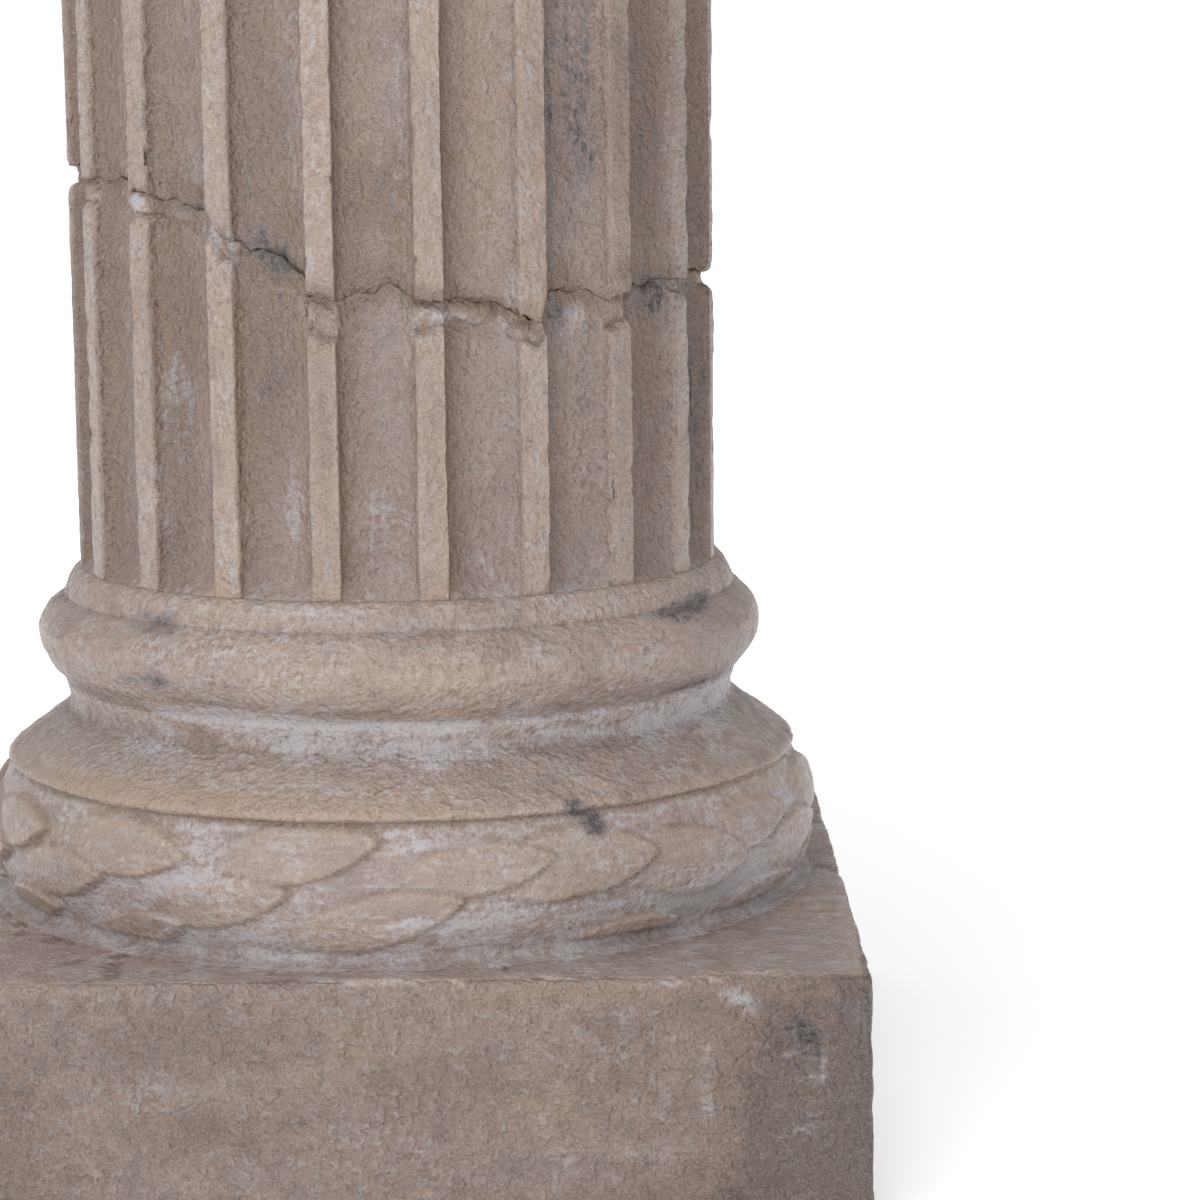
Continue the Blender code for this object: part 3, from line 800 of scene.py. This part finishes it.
SHAFT_BLOOM = (
    (-46.5, 310, 9, 5, 100), (-36, 306, 10, 3, 40), (-16.4, 254, 6, 10, 45), (-24.4, 294, 5, 5, 50),
    (-14, 342, 7, 50, 50), (4.5, 350, 5, 70, 45), (-40.3, 235, 8, 12, 35), (-15.5, 185, 6, 28, 55),
    (-9.8, 263, 9, 4, 12), (9.5, 264, 9, 4.5, 40), (17, 262.5, 10, 4, 20), (-2, 179, 12, 20, 50),
    (3, 250, 10, 20, 25), (37, 258, 12, 9, 50), (-43, 190, 10, 30, 40), (-36, 220, 14, 50, 24),
    (36, 200, 12, 50, 25), (18, 190, 14, 50, 18), (-28, 296, 8, 8, 45), (-27, 170, 6, 20, 40),
    (24, 272, 4, 16, 60), (63, 270, 8, 6, 60), (19, 160, 12, 16, 30), (27, 350, 4, 80, 40),
    (-10, 350, 5, 90, 40), (38.5, 325, 5, 45, 60), (61, 325, 5, 35, 55), (130, 290, 20, 8, 70),
    (-100, 320, 20, 8, 70), (180, 320, 20, 10, 60), (100, 450, 10, 50, 50), (-60, 500, 10, 60, 50),
    (-130, 600, 12, 60, 50),
)
SHAFT_OCHRE = (
    (-2, 350, 12, 80, 45), (5, 305, 4, 20, 60), (18, 350, 14, 90, 50), (18, 220, 14, 60, 40),
    (-9.5, 249, 6, 4, 80), (17.5, 264, 11, 5, 25), (27, 263, 6, 4, 80), (-41.5, 245, 3, 30, 80),
    (-24, 230, 3, 80, 60), (-6, 200, 3, 60, 60), (12, 200, 3, 60, 50), (48, 290, 6, 20, 50),
    (36, 200, 14, 50, 35), (82, 340, 20, 40, 50), (-30, 150, 6, 8, 70), (-36, 290, 12, 12, 45),
    (120, 360, 20, 60, 50), (-120, 420, 20, 60, 50), (160, 220, 20, 60, 50), (-150, 300, 20, 60, 40),
    (60, 540, 20, 70, 40),
)
# Grime and painted shade on the shaft: the broad spots towards its right edge are painted shade
SHAFT_GRIME_AND_SHADE = (
    (-18, 250, 13, 40, 62), (-37, 260, 14, 40, 35), (-1, 310, 12, 20, 35), (-20, 335, 14, 60, 60),
    (-17, 305, 12, 10, 70), (0, 279, 14, 6, 80), (-8, 270, 8, 6, 60), (-40, 225, 8, 80, 50),
    (57, 220, 18, 70, 35), (57, 350, 18, 70, 60), (82, 280, 30, 160, 70), (33, 275, 10, 8, 70),
    (75, 260, 12, 60, 50), (-36, 313, 12, 4, 90), (47, 278, 10, 6, 60), (4, 310, 6, 30, 50),
    (88, 400, 20, 100, 50), (105, 300, 16, 80, 50), (-9, 215, 6, 50, 45), (9, 215, 6, 50, 30),
    (27, 350, 7, 70, 38), (45, 350, 9, 70, 60), (45, 200, 8, 60, 28), (9, 340, 6, 60, 18),
    (144, 240, 16, 80, 50), (-140, 350, 16, 80, 50), (-92, 260, 16, 80, 50),
)


def shaft_paints(grid, near_break):
    """The paint amounts of one length of the shaft. near_break is 1 at the break and 0 away from it."""
    above = grid[..., 2] - PLINTH_HEIGHT
    at = shaft_degrees[None, :] + 0 * above
    sunken = hollowness(grid, 2, 0.0010)
    flutes = smooth(0.0, FLUTE_DEPTH, fluting)[None, :] + 0 * above
    past_edge = np.clip(off_fillet - FILLET_WIDTH / 2, 0, None)
    shaded_side = (np.tile(one_pitch, FLUTES) > 0) * np.exp(-past_edge / 0.0075) * (past_edge > 0)
    off_break = grid[..., 2] - crack + 0.0022 * lumps(grid, 0.010, 2, 33.0)
    wash = bell(0, off_break / 0.0046) * np.clip(0.7 + 0.9 * lumps(grid, 0.020, 2, 35.0), 0.15, 1)
    fill = bell(0, (off_break + 0.0072) / 0.0030) * np.clip(0.5 + lumps(grid, 0.016, 2, 37.0), 0, 1)
    foot = np.exp(-np.abs(grid[..., 2] - SHAFT_FOOT) / 0.0050)
    # A little grime all over and a brown wash along the break, with painted shade deeper in the flutes and
    # on each flute's wall to the right of a fillet
    grime_and_shade = 0.14 + 0.28 * flutes + 0.9 * wash + 0.70 * shaded_side
    return {
        "hollow": np.clip(np.clip(sunken, 0, 1) * (1 - foot) + 0.5 * near_break, 0, 1),
        "raised": np.clip(on_fillet[None, :] * (1 - near_break) + 0.5 * np.clip(-sunken, 0, 1), 0, 1),
        "soot": places(at, above, SHAFT_SOOT) * (0.45 + 0.55 * flutes),
        "bloom_and_painted_light": np.clip(0.68 * places(at, above, SHAFT_BLOOM) + 0.25 * fill + 0.4 * foot * flutes, 0, 1),
        "ochre": np.clip(places(at, above, SHAFT_OCHRE) + 0.5 * foot * (1 - flutes) + 0.3 * wash, 0, 1),
        "grime_and_shade": np.clip(grime_and_shade + places(at, above, SHAFT_GRIME_AND_SHADE), 0, 1),
        "coarse": 0.5 - 0.4 * foot,
    }


# %% Make the shaft
lower_near = np.exp(-(((crack - lower_grid[..., 2]) / 0.0020) ** 2))
upper_near = np.exp(-(((upper_grid[..., 2] - crack) / 0.0012) ** 2))
lower = skin(
    "shaft_lower_length", lower_grid, (0, 0, crack_middle - JOINT_GAP), (0, 0, SHAFT_FOOT),
    shaft_paints(lower_grid, lower_near),
)
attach(lower, "root")
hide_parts("shaft_lower")
upper = skin(
    "shaft_upper_length", upper_grid, (0, 0, SHAFT_HEAD), (0, 0, crack_middle + JOINT_GAP),
    shaft_paints(upper_grid, upper_near),
)
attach(upper, "root")
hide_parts("shaft_upper")

# %% [markdown]
# The cap is cut off by the photograph's edge, so it is kept plain: a ring over the fluting, a short neck,
# a swelling curve and a square slab. It is made as the base is, with rows that run from the middle of its
# top, over the slab and in under it, down to the ring.

# %% Make the cap
CAP_COLUMNS = 480
CAP_MOULDINGS = (
    # Points of (radius, height above the cap's foot) in mm, from the slab down
    ((173, 56), (172.2, 50), (169, 42.5), (163, 34.5), (155, 28.5), (148, 25.8)),
    ((148, 25.8), (144.6, 23.6), (144.4, 19), (145, 14)),
    ((145, 14), (146.6, 12.8), (149, 10.5), (150, 6.6), (149, 2.8), (146.2, 0.6), (144, 0)),
    ((144, 0), (120, 0)),
)
cap_outline = np.concatenate([soft_curve(knots, ROW_STEP) for knots in CAP_MOULDINGS])
cap_turn, cap_circle, cap_square = round_path(CAP_COLUMNS)
slab_foot = CAP_TOP - ABACUS_HEIGHT
brim = cap_square * ABACUS_HALF
neck = cap_circle * cap_outline[0, 0]
over = [level(brim * share, CAP_TOP) for share in np.linspace(0.03, 1, 60)]
slab_sides = [level(brim, height) for height in np.linspace(CAP_TOP, slab_foot, 19)[1:]]
beneath = [level(brim + (neck - brim) * share, slab_foot) for share in np.linspace(0, 1, 14)[1:]]
slab = worn_block(np.stack(over + slab_sides + beneath), ABACUS_HALF, slab_foot, CAP_TOP, 33.0)
cap_round = on_circle(cap_circle, cap_outline[:, :1] + 0 * cap_turn, CAP_FOOT + cap_outline[:, 1:])
cap_grid = np.concatenate([slab, cap_round])
cap_relief = dappled(cap_grid, 100.0) * smooth(0.0, END_FADE, cap_grid[..., 2] - CAP_FOOT)
cap_relief *= 1 - 0.6 * smooth(CAP_TOP - 0.002, CAP_TOP, cap_grid[..., 2])
cap_grid = cap_grid + cap_relief[..., None] * outward(cap_grid)
cap_grid[..., 2] = np.clip(cap_grid[..., 2], CAP_FOOT, CAP_TOP)

# %% Paint amounts of the cap
CAP_SOOT = (
    (50, 50, 20, 8, 70), (-60, 30, 30, 6, 60), (160, 45, 30, 8, 70), (-140, 10, 20, 6, 60),
)
CAP_BLOOM = (
    (0, 24, 60, 4, 70), (-110, 24, 60, 4, 70), (120, 24, 60, 4, 60),
)
CAP_OCHRE = (
    (-20, 8, 70, 4, 70), (60, 42, 60, 6, 50), (190, 8, 80, 4, 70),
)
cap_above = cap_grid[..., 2] - CAP_FOOT
cap_at = np.degrees(cap_turn) + 0 * cap_above
cap_sunken = hollowness(cap_grid, 2, 0.0009)
on_slab = (np.arange(len(cap_grid)) < len(slab))[:, None]
slab_height = cap_grid - (0, 0, slab_foot - ABACUS_HEIGHT)
cap_place = (~on_slab, cap_at, cap_above, on_slab, slab_height, ABACUS_HALF)
cap = skin("cap_casting", cap_grid, (0, 0, CAP_TOP), (0, 0, CAP_FOOT), {
    "hollow": np.clip(cap_sunken, 0, 1),
    "raised": np.clip(-cap_sunken, 0, 1) + 0.5 * ~on_slab,
    "soot": spot_amounts(cap_place, CAP_SOOT, FRONT_SOOT, 0.5 * (cap_grid[..., 2] < CAP_TOP - END_FADE)),
    "bloom_and_painted_light": spot_amounts(cap_place, CAP_BLOOM, FRONT_BLOOM, BLOCK_BLOOM),
    "ochre": spot_amounts(cap_place, CAP_OCHRE, FRONT_OCHRE),
    # The plinth front's grime and painted shade, turned onto the slab's sides
    "grime_and_shade": 0.7 * on_slab * four_sides(slab_height, ABACUS_HALF, FRONT_GRIME_AND_SHADE),
    "coarse": 0.5 + 0.4 * on_slab,
})
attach(cap, "root")
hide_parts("cap")

# %% [markdown]
# Paint. Sums on shader values read best as sums, so one small class wraps a socket and lets Python's
# operators add the Math nodes. A second class, the recipe, holds a material's nodes and adds any other
# node in one call.

# %% Writing shader maths as Python
class Value:
    """A shader socket that Python can do sums with. Every operator adds one Math node."""

    def __init__(self, recipe, socket):
        self.recipe, self.socket = recipe, socket

    def math(self, operation, *values):
        return self.recipe.node("ShaderNodeMath", {"operation": operation}, dict(enumerate(values)))

    def __add__(self, other):
        return self.math("ADD", self, other)

    def __sub__(self, other):
        return self.math("SUBTRACT", self, other)

    def __rsub__(self, other):
        return self.math("SUBTRACT", other, self)

    def __mul__(self, other):
        return self.math("MULTIPLY", self, other)

    __radd__ = __add__
    __rmul__ = __mul__

    def between(self, low, high):
        """0 at low, 1 at high, an S-curve between them."""
        ends = {"Value": self, 1: low, 2: high, 3: 0.0, 4: 1.0}
        return self.recipe.node("ShaderNodeMapRange", {"interpolation_type": "SMOOTHSTEP"}, ends)

    def held(self):
        """Kept between 0 and 1."""
        return self.recipe.node("ShaderNodeClamp", {}, {"Value": self})


class Recipe:
    """A material being mixed."""

    def __init__(self, name):
        self.material = bpy.data.materials.new(name)
        self.material.use_nodes = True
        self.tree = self.material.node_tree
        self.shader = self.tree.nodes["Principled BSDF"]

    def node(self, kind, settings, inputs, output=0):
        """Adds a node: its settings first, then its sockets, by name or number, from plain values or
        Values."""
        made = self.tree.nodes.new(kind)
        for setting, choice in settings.items():
            setattr(made, setting, choice)
        for socket, value in inputs.items():
            self.feed(made.inputs[socket], value)
        return Value(self, made.outputs[output])

    def feed(self, socket, value):
        if isinstance(value, Value):
            self.tree.links.new(value.socket, socket)
        else:
            socket.default_value = value

    def surface(self, inputs):
        """Feeds the shader's own sockets."""
        for socket, value in inputs.items():
            self.feed(self.shader.inputs[socket], value)

    def amount(self, name):
        """One of the paint amounts that the mesh carries."""
        return self.node("ShaderNodeAttribute", {"attribute_name": name}, {}, "Fac")

    def noise(self, size, detail, roughness, shift=0.0, stretch=(1, 1, 1)):
        """Noise between 0 and 1 whose grains are about size metres, longer along an axis whose stretch is
        over 1."""
        place = self.node("ShaderNodeTexCoord", {}, {}, "Object")
        scaled = self.node("ShaderNodeMapping", {}, {
            "Vector": place, "Location": (shift, shift * 0.7, shift * 1.3),
            "Scale": tuple(1 / (size * along) for along in stretch),
        })
        return self.node("ShaderNodeTexNoise", {}, {
            "Vector": scaled, "Scale": 1.0, "Detail": detail, "Roughness": roughness,
        })

    def mix(self, share, under, over):
        """One colour laid over another by a share."""
        return self.node("ShaderNodeMix", {"data_type": "RGBA"}, {0: share, 6: under, 7: over}, 2)

    def bump(self, height, depth):
        return self.node("ShaderNodeBump", {}, {"Strength": 1.0, "Distance": depth, "Height": height})


# %% [markdown]
# The finish is built the way the painter built it. A warm grey-brown ground goes on first, cloudy at the
# width of a hand. Rose and ochre washes are brushed over it in long strokes, along the flutes on the
# shaft and round the pillar on the mouldings. Fillets and edges are rubbed with a lighter peach, hollows
# keep the dark of the wash, and soot, pale bloom, ochre and grime lie where the mesh says. The grime
# brings painted shade and the pale bloom painted light with it, and the hollows' brown includes painted
# shadow lines under the leaves. A fine speckle breaks up all of it, because the brush only touches the
# tops of the grain.

# %% Colours
def shade(red, green, blue):
    """A colour from its plain 0 to 255 numbers, turned into the linear numbers that a shader mixes."""
    parts = np.array([red, green, blue]) / 255
    linear = np.where(parts <= 0.04045, parts / 12.92, ((parts + 0.055) / 1.055) ** 2.4)
    return (*linear.tolist(), 1.0)


GROUND = shade(150, 136, 130)
ROSE = shade(151, 130, 124)
TAN = shade(163, 145, 129)
PEACH = shade(172, 150, 134)
CLOUD = shade(184, 182, 185)
# BROWN and UMBER also carry painted shade, and CLOUD carries painted light in the pale bloom
BROWN = shade(108, 86, 72)
SLATE = shade(101, 95, 94)
SOOT = shade(61, 58, 56)
OCHRE = shade(170, 143, 121)
UMBER = shade(80, 71, 68)
BUMP_DEPTH = 0.0010


# %% The aged paint
PAINTS = ("hollow", "raised", "soot", "bloom_and_painted_light", "ochre", "grime_and_shade", "coarse")


def aged_paint(name, stroke):
    """The painted stone finish. stroke stretches the brush marks along or round the pillar."""
    r = Recipe(name)
    hollow, raised, soot, bloom_and_painted_light, ochre, grime_and_shade, coarse = (r.amount(paint) for paint in PAINTS)
    mottled = 0.4 + 1.2 * coarse
    broad = r.noise(0.050, 1.0, 0.5, 0.0, (1, 1, 1.4)).between(0.36, 0.64)
    washes = r.noise(0.015, 3.0, 0.65, 8.4, stroke)
    strokes = r.noise(0.0030, 1.0, 0.6, 3.1, stroke)
    patches = r.noise(0.028, 4.0, 0.7, 12.0, (1, 1, 1.2))
    dapple = r.noise(0.0032, 3.0, 0.75, 5.2)
    pebbles = r.noise(0.0023, 1.0, 0.5, 6.0)
    grain = r.noise(0.0009, 1.0, 0.7, 1.7)
    blobs = r.noise(0.0036, 1.0, 0.6, 9.0)
    blisters = blobs.between(0.46, 0.72)
    ragged = dapple + 0.6 * patches + 0.5 * strokes - 1.05
    layers = (
        # The share of each paint, laid over the one before it
        (broad, ROSE),
        (washes.between(0.46, 0.66) * 0.55, TAN),
        ((raised * (0.45 + 0.5 * dapple)).held() * 0.72, PEACH),
        (blisters * (0.70 * coarse - 0.22 + 0.50 * patches.between(0.46, 0.64)), CLOUD),
        (strokes.between(0.48, 0.72) * 0.32, CLOUD),
        (patches.between(0.50, 0.34) * 0.32 * mottled, SLATE),
        ((dapple + 0.8 * patches).between(0.94, 1.12) * 0.42, CLOUD),
        ((patches - 0.5 * dapple).between(0.28, 0.42) * 0.24 * mottled, BROWN),
        (dapple.between(0.50, 0.34) * 0.28 * mottled, BROWN),
        ((hollow * (0.45 + 0.6 * dapple)).held() * 0.72, BROWN),
        ((ochre + ragged).between(0.12, 0.85) * 0.60, OCHRE),
        # Grime and painted shade: brown, and umber where it lies thickest
        ((grime_and_shade + ragged).between(0.10, 0.95) * 0.66, BROWN),
        ((grime_and_shade + 3.0 * ragged).between(0.96, 1.72) * 0.64, UMBER),
        # Pale bloom, part of it painted light that lifts the shade of the base's hollows and right side
        ((bloom_and_painted_light + (1.0 + 0.8 * bloom_and_painted_light) * ragged).between(0.16, 0.85) * 0.72, CLOUD),
        ((soot + (0.6 + 2.4 * soot) * ragged).between(0.20, 0.75) * 0.78, SLATE),
        ((soot + (0.8 + 2.4 * soot) * ragged).between(0.60, 1.10) * 0.80, SOOT),
        (grain.between(0.50, 0.68) * 0.16, CLOUD),
        (grain.between(0.50, 0.34) * 0.20, BROWN),
    )
    colour = GROUND
    for share, paint in layers:
        colour = r.mix(share, colour, paint)
    relief = (1.2 * pebbles + 0.5 * dapple + blobs + 0.25 * blisters) * (0.5 + coarse) + 0.4 * grain
    r.surface({
        "Base Color": colour,
        "Roughness": 0.46 - 0.14 * dapple - 0.06 * raised + 0.10 * soot,
        "Specular IOR Level": 0.5,
        "Normal": r.bump(relief, BUMP_DEPTH),
    })
    return r.material


base_paint = aged_paint("aged_base_paint", (5, 5, 1))
shaft_paint = aged_paint("aged_shaft_paint", (1, 1, 7))
for piece, paint in ((base, base_paint), (cap, base_paint), (lower, shaft_paint), (upper, shaft_paint)):
    piece.data.materials.append(paint)
print("painted", base.name, cap.name, lower.name, upper.name)

# %% [markdown]
# The stage is a plain pale floor that runs on into a white world. A large soft light stands to the left
# of the camera, as in the photograph, where the right side of each fillet and of the whole shaft falls
# away into shade.

# %% Floor
FLOOR_SIZE, FLOOR_DROP = 24.0, 0.0005
FLOOR_PAINT = (0.86, 0.86, 0.86, 1.0)
NEAR_GLOW = (0.40, 0.40, 0.40, 1.0)
FAR_GLOW = (0.95, 0.95, 0.95, 1.0)
bpy.ops.mesh.primitive_plane_add(size=FLOOR_SIZE, location=(0, 0, -FLOOR_DROP))
floor = bpy.context.object
floor.name = "floor"
f = Recipe("pale_floor")
spread = f.node("ShaderNodeTexCoord", {}, {}, "Object")
distance = f.node("ShaderNodeVectorMath", {"operation": "LENGTH"}, {0: spread}, "Value")
shine = f.mix(distance.between(0.6, 2.6), NEAR_GLOW, FAR_GLOW)
f.surface({"Base Color": FLOOR_PAINT, "Roughness": 0.9, "Emission Color": shine, "Emission Strength": 1.0})
floor.data.materials.append(f.material)

# %% Lights
LIGHTS = (
    # name, place, the point it faces, size in metres, power
    ("window_light", (-0.62, -2.35, 1.25), (0, 0, 0.35), 1.5, 24.5),
    ("ceiling_light", (-0.3, -0.7, 3.2), (0, 0, 0.2), 2.2, 40.0),
)
ROOM_LIGHT = 0.49
for name, place, aim, size, power in LIGHTS:
    light = bpy.data.lights.new(name, "AREA")
    light.shape = "SQUARE"
    light.size = size
    light.energy = power
    lamp = bpy.data.objects.new(name, light)
    bpy.context.scene.collection.objects.link(lamp)
    lamp.location = place
    lamp.rotation_euler = (Vector(aim) - Vector(place)).to_track_quat("-Z", "Y").to_euler()
world = bpy.data.worlds.new("white_room")
bpy.context.scene.world = world
world.use_nodes = True
nodes, links = world.node_tree.nodes, world.node_tree.links
nodes["Background"].inputs["Color"].default_value = (1.0, 1.0, 1.0, 1.0)
glow = nodes.new("ShaderNodeMapRange")
glow.inputs["To Min"].default_value = ROOM_LIGHT
glow.inputs["To Max"].default_value = 1.0
seen = nodes.new("ShaderNodeLightPath")
links.new(seen.outputs["Is Camera Ray"], glow.inputs["Value"])
links.new(glow.outputs[0], nodes["Background"].inputs["Strength"])
bpy.context.scene.view_settings.view_transform = "Standard"
